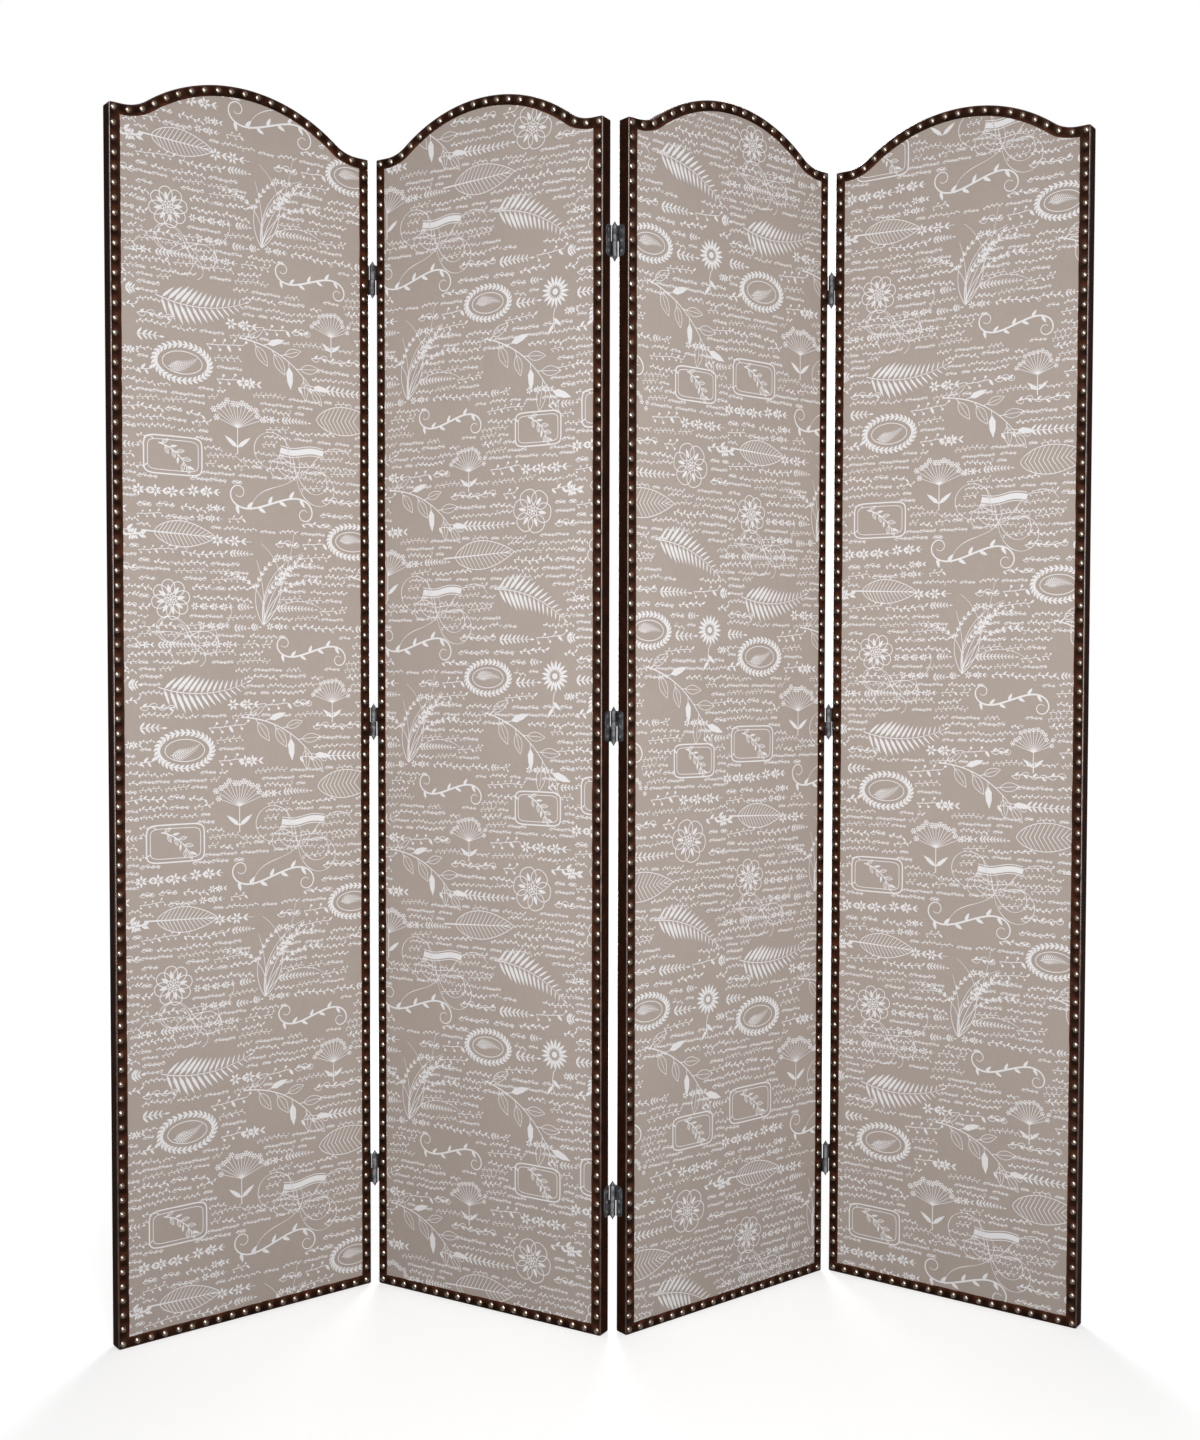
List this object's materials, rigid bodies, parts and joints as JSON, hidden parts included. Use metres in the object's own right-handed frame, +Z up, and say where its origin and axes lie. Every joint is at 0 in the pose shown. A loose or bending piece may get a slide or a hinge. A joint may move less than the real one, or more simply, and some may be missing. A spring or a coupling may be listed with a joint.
{
  "type": "folding screen",
  "caption": "Free-standing zigzag folding screen: tall cloth-covered panels with crowned tops, leather-bound nailed edges and butt hinges that fold them flat together.",
  "frame": {"origin": "on the floor under the middle of the screen's box in its zigzag pose", "axes": "+Z up, +X along the row of panels to the viewer's right, -Y towards the front"},
  "size_m": [1.4224, 0.2734, 1.8288],
  "materials": {
    "frame_wood": "planed softwood, hidden",
    "facing_board": "thin hardboard, hidden",
    "printed_cloth": "plain-woven linen with a pale worn print",
    "binding_leather": "smooth dark brown leather, semi-gloss",
    "nail_bronze": "antique bronze",
    "hinge_steel": "plated steel"
  },
  "bodies": {
    "panel_1": {"left_hinge_leaves_panel_1": "hinge_steel", "left_hinge_pins": "hinge_steel", "panel_1_back_board": "facing_board", "panel_1_back_cloth": "printed_cloth", "panel_1_bottom_rail": "frame_wood", "panel_1_cross_rails": "frame_wood", "panel_1_edge_binding": "binding_leather", "panel_1_front_board": "facing_board", "panel_1_front_cloth": "printed_cloth", "panel_1_left_stile": "frame_wood", "panel_1_nails": "nail_bronze", "panel_1_right_stile": "frame_wood", "panel_1_top_rail": "frame_wood"},
    "panel_2": {"left_hinge_leaves_panel_2": "hinge_steel", "middle_hinge_leaves_panel_2": "hinge_steel", "middle_hinge_pins": "hinge_steel", "panel_2_back_board": "facing_board", "panel_2_back_cloth": "printed_cloth", "panel_2_bottom_rail": "frame_wood", "panel_2_cross_rails": "frame_wood", "panel_2_edge_binding": "binding_leather", "panel_2_front_board": "facing_board", "panel_2_front_cloth": "printed_cloth", "panel_2_left_stile": "frame_wood", "panel_2_nails": "nail_bronze", "panel_2_right_stile": "frame_wood", "panel_2_top_rail": "frame_wood"},
    "panel_3": {"middle_hinge_leaves_panel_3": "hinge_steel", "panel_3_back_board": "facing_board", "panel_3_back_cloth": "printed_cloth", "panel_3_bottom_rail": "frame_wood", "panel_3_cross_rails": "frame_wood", "panel_3_edge_binding": "binding_leather", "panel_3_front_board": "facing_board", "panel_3_front_cloth": "printed_cloth", "panel_3_left_stile": "frame_wood", "panel_3_nails": "nail_bronze", "panel_3_right_stile": "frame_wood", "panel_3_top_rail": "frame_wood", "right_hinge_leaves_panel_3": "hinge_steel", "right_hinge_pins": "hinge_steel"},
    "panel_4": {"panel_4_back_board": "facing_board", "panel_4_back_cloth": "printed_cloth", "panel_4_bottom_rail": "frame_wood", "panel_4_cross_rails": "frame_wood", "panel_4_edge_binding": "binding_leather", "panel_4_front_board": "facing_board", "panel_4_front_cloth": "printed_cloth", "panel_4_left_stile": "frame_wood", "panel_4_nails": "nail_bronze", "panel_4_right_stile": "frame_wood", "panel_4_top_rail": "frame_wood", "right_hinge_leaves_panel_4": "hinge_steel"}
  },
  "joints": [
    {"name": "fold_left", "type": "hinge", "parent": "panel_2", "child": "panel_1", "pos_m": [-0.35718, 0.10314, 0.8835], "axis": [0, 0, 1], "range_deg": [-69.1, 110.9]},
    {"name": "fold_middle", "type": "hinge", "parent": "panel_2", "child": "panel_3", "pos_m": [0.00995, -0.10611, 0.8835], "axis": [0, 0, 1], "range_deg": [-69.6, 110.4]},
    {"name": "fold_right", "type": "hinge", "parent": "panel_3", "child": "panel_4", "pos_m": [0.36769, 0.1188, 0.8835], "axis": [0, 0, -1], "range_deg": [-74.2, 105.8]}
  ]
}
